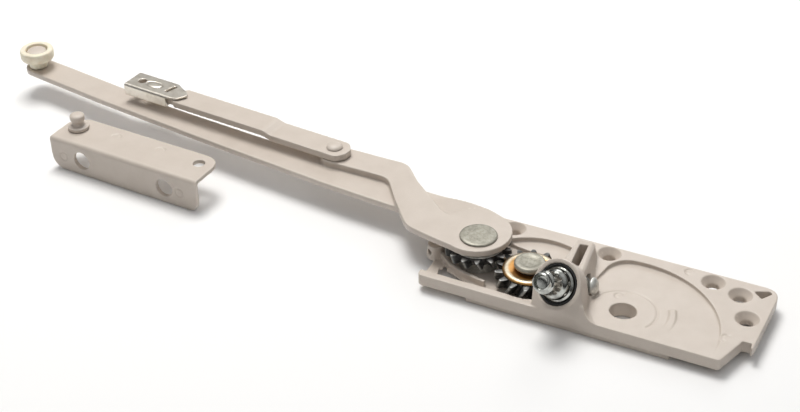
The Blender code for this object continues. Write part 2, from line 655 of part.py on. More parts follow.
def make_link():
    """Link strap in its own frame: +X runs from the rivet out to the clip."""
    half = LINK_WIDTH / 2.0
    tongue = TONGUE_WIDTH / 2.0
    outline = ([(LINK_NECK, half), (LINK_NECK + 1.2, tongue), (LINK_LENGTH - 1.2, tongue),
                (LINK_LENGTH - 0.2, tongue - 1.2),
                (LINK_LENGTH - 0.2, 1.2 - tongue), (LINK_LENGTH - 1.2, -tongue),
                (LINK_NECK + 1.2, -tongue),
                (LINK_NECK, -half)]
               + rounded([(8.0, -half, 0.0), (-4.0, -half, 4.0), (-7.0, -2.0, 2.0), (-7.0, 2.0, 2.0),
                          (-4.0, half, 4.0), (8.0, half, 0.0)]))
    link = slab("link", list(reversed(outline)), LINK_Z[0], LINK_Z[1], PAINT,
                holes=[circle((0.0, 0.0), 2.4, 24), circle((105.0, 0.0), 3.5, 24)])
    shell = bmesh.new()
    shell.from_mesh(link.data)
    for along in (29.5, 31.0, 33.0, 34.5):
        bmesh.ops.bisect_plane(shell, geom=shell.verts[:] + shell.edges[:] + shell.faces[:],
                               plane_co=(along * MM, 0.0, 0.0), plane_no=(1.0, 0.0, 0.0))
    for vert in shell.verts:
        climb = min(1.0, max(0.0, (vert.co.x / MM - 29.5) / 5.0))
        vert.co.z += LINK_RAISE * MM * climb * climb * (3.0 - 2.0 * climb)
    shell.to_mesh(link.data)
    shell.free()
    link.matrix_world = link_matrix()
    smooth(link)
    rivet = turned("link_rivet", [(0.0, 21.0), (2.0, 20.8), (3.1, 20.3), (3.6, 19.6), (2.1, 19.6),
                                  (2.1, 13.2),
                                  (0.0, 13.2)], PAINT, steps=32)
    rivet.location = (LINK_PIVOT[0] * MM, LINK_PIVOT[1] * MM, 0.0)
    smooth(rivet)


def make_clip():
    """Sheet clip folded round the link's tongue, with a pointed thumb end."""
    near, far = CLIP_RANGE
    half = CLIP_WIDTH / 2.0
    low, high = CLIP_Z
    clip = slab("snap_clip", [(near + 1.5, -1.6), (near, 0.6), (near + 2.6, half - 1.4),
                              (near + 8.0, half),
                              (far, half),
                              (far, -half), (near + 10.5, -half), (near + 7.0, -half + 2.0)],
                high - CLIP_WALL, high, NICKEL,
                holes=[circle((105.0, 0.0), 1.9, 20), rounded([(87.4, -3.4, 0.5), (89.0, -3.4, 0.5),
                                                            (90.6, 2.4, 0.5),
                                                                (89.0, 2.4, 0.5)], 2)])
    for name, side in (("front_wall", 1.0), ("back_wall", -1.0)):
        start = near + (8.1 if side > 0 else 10.7)
        inner = side * (half - CLIP_WALL)
        outer = side * half
        wall = slab("clip_" + name, [(start, min(inner, outer)), (far, min(inner, outer)),
                                     (far, max(inner, outer)),
                                     (start, max(inner, outer))], low, high - CLIP_WALL / 2.0)
        wall.matrix_world = link_matrix()
        boolean(clip, wall, 'UNION')
        lip_edge = side * (half - 3.0)
        lip = slab("clip_lip_" + name, [(start, min(lip_edge, outer)), (far, min(lip_edge, outer)),
                                        (far, max(lip_edge, outer)), (start, max(lip_edge, outer))],
                   low, low + 0.7)
        lip.matrix_world = link_matrix()
        boolean(clip, lip, 'UNION')
    clip.matrix_world = link_matrix()
    smooth(clip)


# ---------------------------------------------------------------- sash bracket

def bracket_matrix():
    matrix = Matrix.Rotation(BRACKET_TURN, 4, 'Z')
    matrix.translation = Vector((BRACKET_ORIGIN[0], BRACKET_ORIGIN[1], 0.0)) * MM
    return matrix


def make_bracket():
    """Angle bracket: upright flange with two screw holes, top plate with the stud."""
    left = -2.5
    right = left + BRACKET_LENGTH
    top = slab("sash_bracket", rounded([(left, 0.0, 0.0), (left, 13.8, 2.0), (4.0, BRACKET_DEPTH, 3.0),
                                        (right, BRACKET_DEPTH, 8.0), (right, 0.0, 0.0)], 7),
                                        BRACKET_HEIGHT - BRACKET_THICK, BRACKET_HEIGHT, PAINT,
               holes=[circle((68.8, 13.2), 2.6, 24), circle(STUD_ALONG, 2.4, 24)])
    flange = slab("bracket_flange", rounded([(left, 0.8 - BRACKET_HEIGHT, 0.0), (left, 0.0, 7.5),
                                             (right, 0.0, 5.2),
                                             (right, 0.8 - BRACKET_HEIGHT, 0.0)], 7),
                  0.0, BRACKET_THICK,
                  holes=[circle((14.2, -7.4), 4.2, 28), circle((58.8, -7.35), 4.2, 28)])
    upright = Matrix.Rotation(math.radians(-90.0), 4, 'X')
    flange.matrix_world = bracket_matrix() @ upright
    boolean(top, flange, 'UNION')
    top.matrix_world = bracket_matrix()
    smooth(top)

    stud = turned("bracket_stud", [(0.0, STUD_TOP), (2.4, STUD_TOP), (3.1, STUD_TOP - 0.7), (3.3, 21.6),
                                   (3.2, 20.0),
                                   (2.6, 19.5), (2.6, 18.0), (3.2, 17.5), (4.6, 17.3), (4.7, 16.2),
                                   (4.5, 15.8),
                                   (2.1, 15.8), (2.1, 13.0), (0.0, 13.0)], PAINT, steps=32)
    place = bracket_matrix() @ Matrix.Translation(Vector((*STUD_ALONG, 0.0)) * MM)
    stud.location = place.translation
    smooth(stud)


make_base()
make_gears()
make_worm_shaft()
make_drive_fittings()
make_short_arm()
make_long_arm()
make_roller()
make_link()
make_clip()
make_bracket()
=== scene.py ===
import json
import math

import bmesh
import bpy
import numpy as np
from mathutils import Matrix, Vector


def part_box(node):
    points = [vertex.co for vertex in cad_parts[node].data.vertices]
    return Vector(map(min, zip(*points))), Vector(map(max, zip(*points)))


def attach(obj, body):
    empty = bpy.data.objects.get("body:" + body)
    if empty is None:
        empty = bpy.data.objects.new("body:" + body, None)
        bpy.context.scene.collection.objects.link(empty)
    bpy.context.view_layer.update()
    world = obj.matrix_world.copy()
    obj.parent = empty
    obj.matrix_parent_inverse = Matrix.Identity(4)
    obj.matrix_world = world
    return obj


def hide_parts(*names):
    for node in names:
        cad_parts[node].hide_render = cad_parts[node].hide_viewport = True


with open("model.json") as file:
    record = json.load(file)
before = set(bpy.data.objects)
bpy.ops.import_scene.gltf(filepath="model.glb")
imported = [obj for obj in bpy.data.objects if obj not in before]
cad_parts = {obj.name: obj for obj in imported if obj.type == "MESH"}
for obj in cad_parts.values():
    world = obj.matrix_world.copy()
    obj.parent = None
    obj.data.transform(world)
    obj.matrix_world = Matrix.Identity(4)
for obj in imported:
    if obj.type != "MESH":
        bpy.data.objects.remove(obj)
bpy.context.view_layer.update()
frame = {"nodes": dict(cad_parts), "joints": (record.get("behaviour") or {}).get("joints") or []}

MM = 0.001
TAU = 2.0 * math.pi


# ------------------------------------------------------------------ places

def centre_of(node):
    """Middle of a CAD node's box, in millimetres."""
    low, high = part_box(node)
    return (low + high) / 2.0 / MM


def joint(name):
    return next(j for j in frame["joints"] if j["name"] == name)


ARM_POST = centre_of("arm_pivot_post")
IDLER = centre_of("idler_pivot_post")
ROLLER = centre_of("roller")
LINK_PIN = centre_of("link_rivet")
STUD = centre_of("bracket_stud")
RING = Vector(joint("crank_turn")["pos_m"]) / MM
SHAFT = -Vector(joint("crank_turn")["axis"]).normalized()
CLIP_INWARD = Vector(joint("clip_slide")["axis"]).normalized()

# Named dimensions of the CAD, in millimetres
DECK_TOP = 7.3
BAY_HOLE = (15.0, -11.7)
WINDOW_PLUG = (0.2, -5.9, 9.7)
WINDOW_TILT = math.radians(77.0)
HEAD_CENTRE = (-51.9, 0.8)
HEAD_R = 14.3
CLIP_HALF = 6.3
CLIP_TOP = 22.0
BRACKET_TOP = 15.5
BRACKET_ORIGIN = (-249.5, -13.5)
BRACKET_TURN = -math.atan2(3.8, 76.1)

# Gears and worm
TEETH = 14
ROOT_R = 10.3
PITCH_R = 12.3
HELIX = math.tan(math.radians(27.0)) / PITCH_R
MESH_LEVEL = 8.8
IDLER_SPAN = (4.6, 10.2)
IDLER_TIP_R = 13.85
ARM_GEAR_SPAN = (9.2, 12.2)
ARM_GEAR_TIP_R = 13.5
GEAR_BORE = 4.75
GEAR_LEVELS = 14
WORM_SPAN = (-18.0, -7.5)
WORM_TIP_R = 6.3
WORM_ROOT_R = 4.0
WORM_LEAD = 4.92
WORM_PHASE = math.radians(42.0)
SPLINES = 12
STAKES = 8

# Skins: voxel size and rounds of smoothing
CAST_SKIN = (0.36, 3)
LINK_SKIN = (0.32, 3)
BRACKET_SKIN = (0.34, 3)
CLIP_SKIN = (0.17, 2)
CLIP_FOLD_R = 1.2
BRACKET_FOLD_R = 1.9

# Small marks: (x, y, radius) on the casting, places on the bracket's own faces
EJECTOR_MARKS = ((10.5, -3.0, 1.8), (30.6, 22.0, 1.9), (55.2, -11.5, 1.9))
BAY_RING_R = 13.0
FLANGE_MARKS = ((4.1, 7.0), (66.9, 7.3))
ROOF_MARKS = ((24.0, 13.6), (47.9, 13.9))


# ------------------------------------------------------------------ mesh tools

def merged(mesh):
    """Weld the split vertices of an imported mesh back into one closed skin."""
    skin = bmesh.new()
    skin.from_mesh(mesh)
    bmesh.ops.remove_doubles(skin, verts=skin.verts, dist=2e-6)
    bmesh.ops.recalc_face_normals(skin, faces=skin.faces)
    return skin


def copy_of(*nodes):
    """One mesh holding the welded skins of some CAD nodes."""
    both = bmesh.new()
    for node in nodes:
        skin = merged(frame["nodes"][node].data)
        flat = bpy.data.meshes.new("flat")
        skin.to_mesh(flat)
        skin.free()
        both.from_mesh(flat)
        bpy.data.meshes.remove(flat)
    mesh = bpy.data.meshes.new("copy")
    both.to_mesh(mesh)
    both.free()
    return mesh


def baked(mesh, *modifiers):
    """Apply modifiers, given as (type, {settings}), to a mesh and return the result."""
    holder = bpy.data.objects.new("holder", mesh)
    bpy.context.scene.collection.objects.link(holder)
    for kind, settings in modifiers:
        modifier = holder.modifiers.new(kind, kind)
        for key, value in settings.items():
            setattr(modifier, key, value)
    bpy.context.view_layer.update()
    evaluated = holder.evaluated_get(bpy.context.evaluated_depsgraph_get())
    result = bpy.data.meshes.new_from_object(evaluated)
    bpy.data.objects.remove(holder, do_unlink=True)
    return result


def softened(mesh, voxel, rounds):
    """Cast or rolled look: an even skin whose edges are worn round."""
    return baked(mesh, ('REMESH', {"mode": 'VOXEL', "voxel_size": voxel * MM,
                                   "use_smooth_shade": True}),
                 ('SMOOTH', {"factor": 0.5, "iterations": rounds}))


def edged(mesh, width=0.15, segments=2, limit=32.0):
    """Small highlight-catching bevel on every sharp edge."""
    return baked(mesh, ('BEVEL', {"width": width * MM, "segments": segments, "limit_method": 'ANGLE',
                                  "angle_limit": math.radians(limit), "harden_normals": False}))


def moved(mesh, change):
    """Run every vertex (in millimetres) through a function."""
    normals = [vert.normal.copy() for vert in mesh.vertices]
    spots = [change(vert.co / MM, normal) * MM for vert, normal in zip(mesh.vertices, normals)]
    mesh.vertices.foreach_set("co", np.array([tuple(spot) for spot in spots], dtype=np.float32).ravel())
    mesh.update()
    return mesh


def bent(point, across, top, radius):
    """Pull a point outside a fold back onto its bend; across is the distance in from the outer face."""
    inward = radius - across
    upward = point.z - (top - radius)
    reach = math.hypot(inward, upward)
    if inward <= 0.0 or upward <= 0.0 or reach <= radius:
        return 0.0, 0.0
    return inward * (1.0 - radius / reach), upward * (radius / reach - 1.0)


def bead(distance, width, height):
    """Smooth bead at a distance from its middle line; a negative height makes a groove."""
    return height * math.exp(-(distance / width) ** 2)


def lathe(profile, steps=96, closed=True):
    """Turn a (radius, height) profile about Z; ends on the axis are closed by a point."""
    skin = bmesh.new()
    rings = []
    for radius, height in profile:
        if radius < 1e-6:
            rings.append([skin.verts.new((0.0, 0.0, height * MM))])
            continue
        rings.append([skin.verts.new((radius * math.cos(TAU * i / steps) * MM,
                                      radius * math.sin(TAU * i / steps) * MM, height * MM))
                      for i in range(steps)])
    pairs = list(zip(rings, rings[1:]))
    if closed and len(rings[0]) > 1:
        pairs.append((rings[-1], rings[0]))
    for near, far in pairs:
        for i in range(steps):
            j = (i + 1) % steps
            loop = [near[i % len(near)], near[j % len(near)], far[j % len(far)], far[i % len(far)]]
            corners = list(dict.fromkeys(loop))
            if len(corners) > 2:
                skin.faces.new(corners)
    bmesh.ops.recalc_face_normals(skin, faces=skin.faces)
    mesh = bpy.data.meshes.new("turned")
    skin.to_mesh(mesh)
    skin.free()
    return mesh


def skinned(rings):
    """Closed loft through equally long rings of points, in millimetres."""
    skin = bmesh.new()
    made = [[skin.verts.new(Vector(p) * MM) for p in ring] for ring in rings]
    count = len(made[0])
    for near, far in zip(made, made[1:]):
        for i in range(count):
            j = (i + 1) % count
            skin.faces.new((near[i], near[j], far[j], far[i]))
    skin.faces.new(list(reversed(made[0])))
    skin.faces.new(made[-1])
    bmesh.ops.recalc_face_normals(skin, faces=skin.faces)
    mesh = bpy.data.meshes.new("loft")
    skin.to_mesh(mesh)
    skin.free()
    return mesh


def placed(mesh, matrix):
    """Move a mesh in place and hand it back."""
    mesh.transform(matrix)
    return mesh


def at(centre):
    """Matrix to a vertical axis given in millimetres."""
    return Matrix.Translation((centre[0] * MM, centre[1] * MM, 0.0))


def shaft_frame():
    """Matrix whose Z is the crank shaft, starting from the ring plane."""
    side = Vector((0.0, 0.0, 1.0)).cross(SHAFT).normalized()
    matrix = Matrix((side, SHAFT.cross(side), SHAFT)).transposed().to_4x4()
    matrix.translation = RING * MM
    return matrix


def link_frame():
    """Matrix whose X runs along the link from its rivet towards the clip."""
    out = -CLIP_INWARD
    matrix = Matrix((out, Vector((0, 0, 1)).cross(out), Vector((0, 0, 1)))).transposed().to_4x4()
    matrix.translation = Vector((LINK_PIN.x, LINK_PIN.y, 0.0)) * MM
    return matrix


def piece(name, mesh, material, body, slot, *nodes, sharp=35.0):
    """Make the visible object, put it on its body and let it stand for its CAD nodes."""
    obj = bpy.data.objects.new(name, mesh)
    bpy.context.scene.collection.objects.link(obj)
    mesh.materials.clear()
    mesh.materials.append(material)
    mesh.shade_smooth()
    if sharp:
        mesh.set_sharp_from_angle(angle=math.radians(sharp))
    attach(obj, body)
    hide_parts(*nodes)
    return obj


# ------------------------------------------------------------------ materials

class Finish:
    """Small helper for building a node material."""

    def __init__(self, name, colour, roughness, metallic=0.0, **extra):
        self.material = bpy.data.materials.new(name)
        self.material.use_nodes = True
        self.tree = self.material.node_tree
        self.shader = self.tree.nodes["Principled BSDF"]
        self.shader.inputs["Base Color"].default_value = (*colour, 1.0)
        self.shader.inputs["Roughness"].default_value = roughness
        self.shader.inputs["Metallic"].default_value = metallic
        for key, value in extra.items():
            self.shader.inputs[key.replace("_", " ")].default_value = value
        self.where = self.node('ShaderNodeTexCoord').outputs["Object"]

    def node(self, kind, **settings):
        made = self.tree.nodes.new(kind)
        for key, value in settings.items():
            setattr(made, key, value)
        return made

    def link(self, source, target):
        self.tree.links.new(source, target)

    def noise(self, size_mm, detail=3.0, roughness=0.55, stretch=(1.0, 1.0, 1.0)):
        grain = self.node('ShaderNodeTexNoise')
        grain.inputs["Scale"].default_value = 1.0 / (size_mm * MM)
        grain.inputs["Detail"].default_value = detail
        grain.inputs["Roughness"].default_value = roughness
        mapping = self.node('ShaderNodeMapping')
        mapping.inputs["Scale"].default_value = stretch
        self.link(self.where, mapping.inputs["Vector"])
        self.link(mapping.outputs["Vector"], grain.inputs["Vector"])
        return grain.outputs["Fac"]

    def ramp(self, value, stops, interpolation='LINEAR'):
        ramp = self.node('ShaderNodeValToRGB')
        ramp.color_ramp.interpolation = interpolation
        while len(ramp.color_ramp.elements) < len(stops):
            ramp.color_ramp.elements.new(0.5)
        for element, (place, colour) in zip(ramp.color_ramp.elements, stops):
            element.position = place
            element.color = (*colour, 1.0) if len(colour) == 3 else colour
        self.link(value, ramp.inputs["Fac"])
        return ramp.outputs["Color"]

    def mix(self, amount, first, second, blend='MIX'):
        mixer = self.node('ShaderNodeMix', data_type='RGBA', blend_type=blend)
        for socket, value in ((mixer.inputs[0], amount), (mixer.inputs[6], first),
                              (mixer.inputs[7], second)):
            if isinstance(value, (int, float)):
                socket.default_value = value
            elif isinstance(value, tuple):
                socket.default_value = (*value, 1.0)
            else:
                self.link(value, socket)
        return mixer.outputs[2]

    def math(self, operation, first, second=0.0, third=0.0):
        maths = self.node('ShaderNodeMath', operation=operation)
        for socket, value in zip(maths.inputs, (first, second, third)):
            if isinstance(value, (int, float)):
                socket.default_value = value
            else:
                self.link(value, socket)
        return maths.outputs[0]

    def radius(self, centre):
        """Distance from a vertical axis, in millimetres."""
        offset = self.node('ShaderNodeVectorMath', operation='SUBTRACT')
        offset.inputs[1].default_value = (centre[0] * MM, centre[1] * MM, 0.0)
        self.link(self.where, offset.inputs[0])
        flat = self.node('ShaderNodeVectorMath', operation='MULTIPLY')
        flat.inputs[1].default_value = (1.0 / MM, 1.0 / MM, 0.0)
        self.link(offset.outputs[0], flat.inputs[0])
        length = self.node('ShaderNodeVectorMath', operation='LENGTH')
        self.link(flat.outputs[0], length.inputs[0])
        return length.outputs["Value"]

    def edges(self, low=0.49, high=0.56):
        """Mask for the painted edge highlights: white on convex edges, black in the open and in
        corners.
        """
        sharpness = self.node('ShaderNodeNewGeometry').outputs["Pointiness"]
        return self.ramp(sharpness, [(low, (0, 0, 0)), (high, (1, 1, 1))])

    def bump(self, height, distance_mm, strength=1.0, after=None):
        bump = self.node('ShaderNodeBump')
        bump.inputs["Strength"].default_value = strength
        bump.inputs["Distance"].default_value = distance_mm * MM
        self.link(height, bump.inputs["Height"])
        if after is not None:
            self.link(after, bump.inputs["Normal"])
        self.link(bump.outputs["Normal"], self.shader.inputs["Normal"])
        return bump.outputs["Normal"]

    def colour(self, source):
        self.link(source, self.shader.inputs["Base Color"])

    def rough(self, source, low, high):
        spread = self.node('ShaderNodeMapRange')
        spread.inputs["To Min"].default_value = low
        spread.inputs["To Max"].default_value = high
        self.link(source, spread.inputs["Value"])
        self.link(spread.outputs["Result"], self.shader.inputs["Roughness"])


PAINT_LIGHT = (0.600, 0.530, 0.465)
PAINT_DARK = (0.560, 0.490, 0.425)


def paint(name, peel=0.03, cast=0.0):
    """Stone-coloured powder coat: orange peel, cloudy tone, and a painted highlight that makes the
    convex edges lighter.
    """
    finish = Finish(name, PAINT_LIGHT, 0.42, 0.0, Coat_Weight=0.12, Coat_Roughness=0.3)
    clouds = finish.noise(9.0, 4.0)
    tone = finish.ramp(clouds, [(0.30, PAINT_DARK), (0.62, PAINT_LIGHT)])
    specks = finish.ramp(finish.noise(0.35, 2.0), [(0.30, (0.86, 0.85, 0.83)), (0.42, (1.0, 1.0, 1.0))])
    tone = finish.mix(0.35, tone, specks, 'MULTIPLY')
    # painted highlight: convex edges mixed towards a lighter paint colour
    tone = finish.mix(finish.edges(), tone, (0.66, 0.59, 0.52))
    finish.colour(tone)
    finish.rough(finish.noise(3.0, 3.0), 0.34, 0.52)
    last = finish.bump(finish.noise(0.9, 2.0), peel, 0.8)
    if cast:
        finish.bump(finish.noise(4.5, 3.0), cast, 0.8, last)
    return finish.material


def zinc(name, tint, shade, mottle_and_edge_highlight=(0.80, 0.81, 0.77), metallic=0.75, dents=0.12):
    """Mottled zinc plate on a peened rivet, with a painted highlight on its convex edges."""
    finish = Finish(name, tint, 0.4, metallic)
    blotches = finish.noise(1.5, 5.0, 0.65)
    tone = finish.ramp(blotches, [(0.34, shade), (0.52, tint), (0.68, mottle_and_edge_highlight)])
    # painted highlight: convex edges take the brightest mottle colour
    finish.colour(finish.mix(finish.edges(0.50, 0.6), tone, mottle_and_edge_highlight))
    finish.rough(finish.noise(0.8, 3.0), 0.34, 0.55)
    finish.bump(finish.noise(1.1, 4.0), dents, 0.7)
    return finish.material


def gear_steel(name, centre):
    """Dark oiled steel; lighter tooth tips, partly wear and partly painted highlight, and a painted
    highlight on the convex edges.
    """
    finish = Finish(name, (0.10, 0.10, 0.10), 0.35, 0.85)
    stain = finish.ramp(finish.noise(1.6, 4.0), [(0.35, (0.035, 0.035, 0.035)), (0.65, (0.15, 0.15,
                                                            0.145))])
    # tooth tips lighter by radius: painted highlight on the tips, broken up by noise like wear
    tips = finish.ramp(finish.math('DIVIDE', finish.radius(centre), 20.0),
                       [(0.655, (0, 0, 0)), (0.690, (1, 1, 1))])
    tip_wear_and_highlight = finish.mix(1.0, tips, finish.ramp(finish.noise(1.0, 3.0), [(0.35, (0.45, 0.45, 0.45)),
                                                                     (0.6, (1, 1, 1))]), 'MULTIPLY')
    # painted highlight: convex edges mixed towards a lighter grey, so stain now also holds this
    # highlight
    stain = finish.mix(finish.edges(0.52, 0.62), stain, (0.34, 0.34, 0.33))
    finish.colour(finish.mix(tip_wear_and_highlight, stain, (0.40, 0.41, 0.40)))
    finish.rough(finish.noise(1.2, 3.0), 0.38, 0.62)
    finish.bump(finish.noise(0.5, 3.0), 0.05, 0.7)
    return finish.material


def washer_brass(name, centre):
    """Copper-coloured washer with a painted highlight ring, and painted shade next to the rivet head.
    """
    finish = Finish(name, (0.72, 0.42, 0.16), 0.28, 0.95)
    # colour by radius: dark brown next to the rivet head is painted shade, the pale band from 8.9 to
    # 9.7 mm is a painted highlight
    rings = finish.ramp(finish.math('DIVIDE', finish.radius(centre), 12.0),
                        [(0.52, (0.36, 0.16, 0.04)), (0.66, (0.55, 0.30, 0.10)),
                         (0.74, (0.52, 0.46, 0.35)),
                         (0.81, (0.52, 0.47, 0.37)), (0.87, (0.42, 0.23, 0.08)),
                         (0.97, (0.40, 0.22, 0.07))])
    stain = finish.ramp(finish.noise(2.2, 4.0), [(0.3, (0.72, 0.70, 0.66)), (0.6, (1, 1, 1))])
    finish.colour(finish.mix(0.7, rings, stain, 'MULTIPLY'))
    finish.rough(finish.noise(1.3, 3.0), 0.3, 0.5)
    finish.bump(finish.noise(0.8, 3.0), 0.04, 0.6)
    return finish.material


def plated(name, colour, low, high, grain=0.7, depth=0.02, metallic=1.0, stain=(0.75, 0.75, 0.74)):
    """Nickel or chrome plate with faint handling marks."""
    finish = Finish(name, colour, low, metallic)
    marks = finish.ramp(finish.noise(2.5, 4.0), [(0.3, stain), (0.6, (1, 1, 1))])
    finish.colour(finish.mix(0.8, colour, marks, 'MULTIPLY'))
    finish.rough(finish.noise(1.5, 4.0), low, high)
    finish.bump(finish.noise(grain, 4.0), depth, 0.6)
    return finish.material


def nylon(name):
    """Ivory nylon: slightly waxy, cloudy, with turning marks."""
    finish = Finish(name, (0.86, 0.79, 0.62), 0.4, 0.0, Subsurface_Weight=0.15, Subsurface_Scale=0.002)
    finish.shader.inputs["Subsurface Radius"].default_value = (1.0, 0.7, 0.4)
    clouds = finish.noise(3.5, 3.0)
    finish.colour(finish.ramp(clouds, [(0.3, (0.80, 0.72, 0.55)), (0.7, (0.90, 0.84, 0.69))]))
    finish.rough(finish.noise(1.0, 2.0), 0.34, 0.5)
    finish.bump(finish.noise(0.7, 2.0, stretch=(1, 1, 4)), 0.04, 0.6)
    return finish.material


def rubber(name):
    """Matt black seal rubber."""
    finish = Finish(name, (0.02, 0.02, 0.02), 0.55)
    finish.colour(finish.ramp(finish.noise(1.2, 3.0), [(0.3, (0.012, 0.012, 0.012)), (0.7, (0.04, 0.04,
                                                            0.04))]))
    finish.rough(finish.noise(0.9, 2.0), 0.4, 0.7)
    finish.bump(finish.noise(0.4, 2.0), 0.04, 0.6)
    return finish.material


CAST_PAINT = paint("cast_paint", 0.035, 0.06)
PLATE_PAINT = paint("plate_paint", 0.025, 0.05)
PIN_ZINC = zinc("pin_zinc", (0.33, 0.315, 0.26), (0.23, 0.22, 0.18), (0.40, 0.385, 0.33), 0.35, 0.08)
COLLAR_ZINC = zinc("collar_zinc", (0.70, 0.70, 0.67), (0.5, 0.5, 0.47))
WASHER_ZINC = zinc("washer_zinc", (0.5, 0.5, 0.47), (0.3, 0.3, 0.28))


# ------------------------------------------------------------------ housing

def casting_marks(point, normal):
    """Faint marks left by the die on the upward faces of the casting."""
    if normal.z < 0.8 or point.z > 8.2:
        return point
    lift = 0.0
    if point.z < DECK_TOP - 0.3:
        lift += bead(math.hypot(point.x - BAY_HOLE[0], point.y - BAY_HOLE[1]) - BAY_RING_R, 0.45, -0.3)
    for x, y, radius in EJECTOR_MARKS:
        away = Vector((point.x - x, point.y - y))
        if away.x - 0.3 * away.y < 0.4 * radius:
            lift += bead(away.length - radius, 0.4, -0.4)
    return Vector((point.x, point.y, point.z + lift))


def make_housing():
    """Casting, riveted posts, washers and the fittings in the mouth and the side window."""
    skin = moved(softened(copy_of("base_casting"), *CAST_SKIN), casting_marks)
    piece("casting_body", skin, CAST_PAINT, "housing", "painted_casting", "base_casting", sharp=0)

    head = [(0.0, 17.05), (3.0, 17.02), (6.3, 16.98), (7.1, 16.88), (7.55, 16.62), (7.65, 16.3),
            (4.4, 16.3),
            (4.4, 3.8), (3.0, 3.8), (3.0, 0.6), (0.0, 0.6)]
    piece("arm_post_pin", placed(edged(lathe(head)), at(ARM_POST)), PIN_ZINC, "housing", "rivet_zinc",
          "arm_pivot_post")
    head = [(0.0, 13.95), (2.6, 13.98), (3.5, 14.15), (4.3, 14.45), (5.3, 14.5), (5.95, 14.25),
            (6.25, 13.7),
            (6.3, 12.6), (4.4, 12.4), (4.4, 3.8), (3.0, 3.8), (3.0, 0.6), (0.0, 0.6)]
    piece("idler_post_pin", placed(edged(lathe(head)), at(IDLER)), PIN_ZINC, "housing", "rivet_zinc",
          "idler_pivot_post")
    dish = [(4.8, 10.95), (6.6, 10.95), (8.0, 11.15), (9.0, 11.5), (9.8, 11.42), (10.5, 11.05),
            (10.85, 10.7),
            (10.75, 10.5), (4.8, 10.5)]
    piece("dished_washer", placed(edged(lathe(dish), 0.08), at(IDLER)),
          washer_brass("washer_brass", IDLER),
          "housing", "brass_washer", "thrust_washer")
    for node, name in (("idler_floor_washer", "idler_shim"), ("arm_floor_washer", "arm_shim")):
        low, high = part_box(node)
        ring = [(8.4, high.z / MM), (8.4, low.z / MM), (4.8, low.z / MM), (4.8, high.z / MM)]
        centre = (low + high) / 2.0 / MM
        piece(name, placed(edged(lathe(ring), 0.08), at(centre)), WASHER_ZINC, "housing",
              "washer_steel", node)

    bush = [(8.0, -1.6), (8.0, -3.6), (7.3, -3.6), (7.3, -2.9), (6.4, -2.6), (6.4, -1.6)]
    piece("mouth_bushing", placed(edged(lathe(bush)), shaft_frame()),
          plated("bushing_steel", (0.16, 0.16, 0.155), 0.3, 0.5), "housing", "gear_steel",
          "shaft_bushing")
    dome = [(0.0, 2.2), (1.2, 2.1), (2.4, 1.75), (3.2, 1.1), (3.5, 0.4), (3.4, 0.1), (0.0, 0.1)]
    turn = Matrix.Rotation(WINDOW_TILT, 4, 'Y')
    spot = Matrix.Translation(Vector(WINDOW_PLUG) * MM)
    piece("window_plug", placed(edged(lathe(dome, closed=False), 0.08), spot @ turn), COLLAR_ZINC,
          "housing",
          "washer_steel", "shaft_bushing")
    lip = [(8.05, -0.5), (8.05, -1.3), (7.3, -1.3), (7.2, -0.9), (7.4, -0.5), (7.75, -0.3)]
    piece("mouth_seal", placed(edged(lathe(lip), 0.05), shaft_frame()), rubber("seal_rubber"),
          "housing",
          "seal_rubber", "shaft_seal")


# ------------------------------------------------------------------ drive

def gear_mesh(centre, low, high, tip, phase, twist, bore):
    """Helical gear with rounded tooth tips, as a loft with a bore."""
    half_steps = [(ROOT_R, 1.75), (ROOT_R + 0.35, 1.50), (11.3, 1.30), (tip - 1.6, 1.15),
                  (tip - 0.8, 0.93),
                  (tip - 0.3, 0.70), (tip, 0.36)]
    flank = [(r, -w) for r, w in half_steps] + [(r, w) for r, w in reversed(half_steps)]
    rings = []
    for level in range(GEAR_LEVELS + 1):
        z = low + (high - low) * level / GEAR_LEVELS
        turn = phase + twist * (z - MESH_LEVEL)
        ring = []
        for tooth in range(TEETH):
            middle = turn + tooth * TAU / TEETH
            for radius, offset in flank:
                angle = middle + offset / radius
                ring.append((radius * math.cos(angle) + centre.x, radius * math.sin(angle) + centre.y,
                             z))
        rings.append(ring)
    mesh = edged(skinned(rings), 0.22, 2, 50.0)
    hole = bpy.data.objects.new("gear_bore", lathe([(0.0, high + 1.0), (bore, high + 1.0),
                                                    (bore, low - 1.0),
                                                    (0.0, low - 1.0)], 64, False))
    hole.matrix_world = at(centre)
    bpy.context.scene.collection.objects.link(hole)
    bpy.context.view_layer.update()
    mesh = baked(mesh, ('BOOLEAN', {"operation": 'DIFFERENCE', "solver": 'EXACT', "object": hole}))
    bpy.data.objects.remove(hole, do_unlink=True)
    return mesh


def make_gears():
    """Both gears, turned so that a tooth of one meets a gap of the other."""
    pitch = TAU / TEETH
    across = math.atan2(IDLER.y - ARM_POST.y, IDLER.x - ARM_POST.x)
    arm_phase = across + pitch * ((across + math.pi) / pitch - 0.5)
    idler = gear_mesh(IDLER, *IDLER_SPAN, IDLER_TIP_R, 0.0, HELIX, GEAR_BORE)
    piece("idler_wheel", idler, gear_steel("idler_steel", IDLER), "idler", "gear_steel", "idler_gear")
    arm = gear_mesh(ARM_POST, *ARM_GEAR_SPAN, ARM_GEAR_TIP_R, arm_phase, -HELIX, GEAR_BORE)
    piece("arm_wheel", arm, gear_steel("arm_gear_steel", ARM_POST), "arms", "gear_steel", "arm_gear")
    shim = [(10.6, 12.9), (10.6, 12.5), (4.8, 12.5), (4.8, 12.9)]
    piece("arm_spacer_ring", placed(edged(lathe(shim), 0.08), at(ARM_POST)), WASHER_ZINC, "arms",
          "washer_steel",
          "arm_spacer")


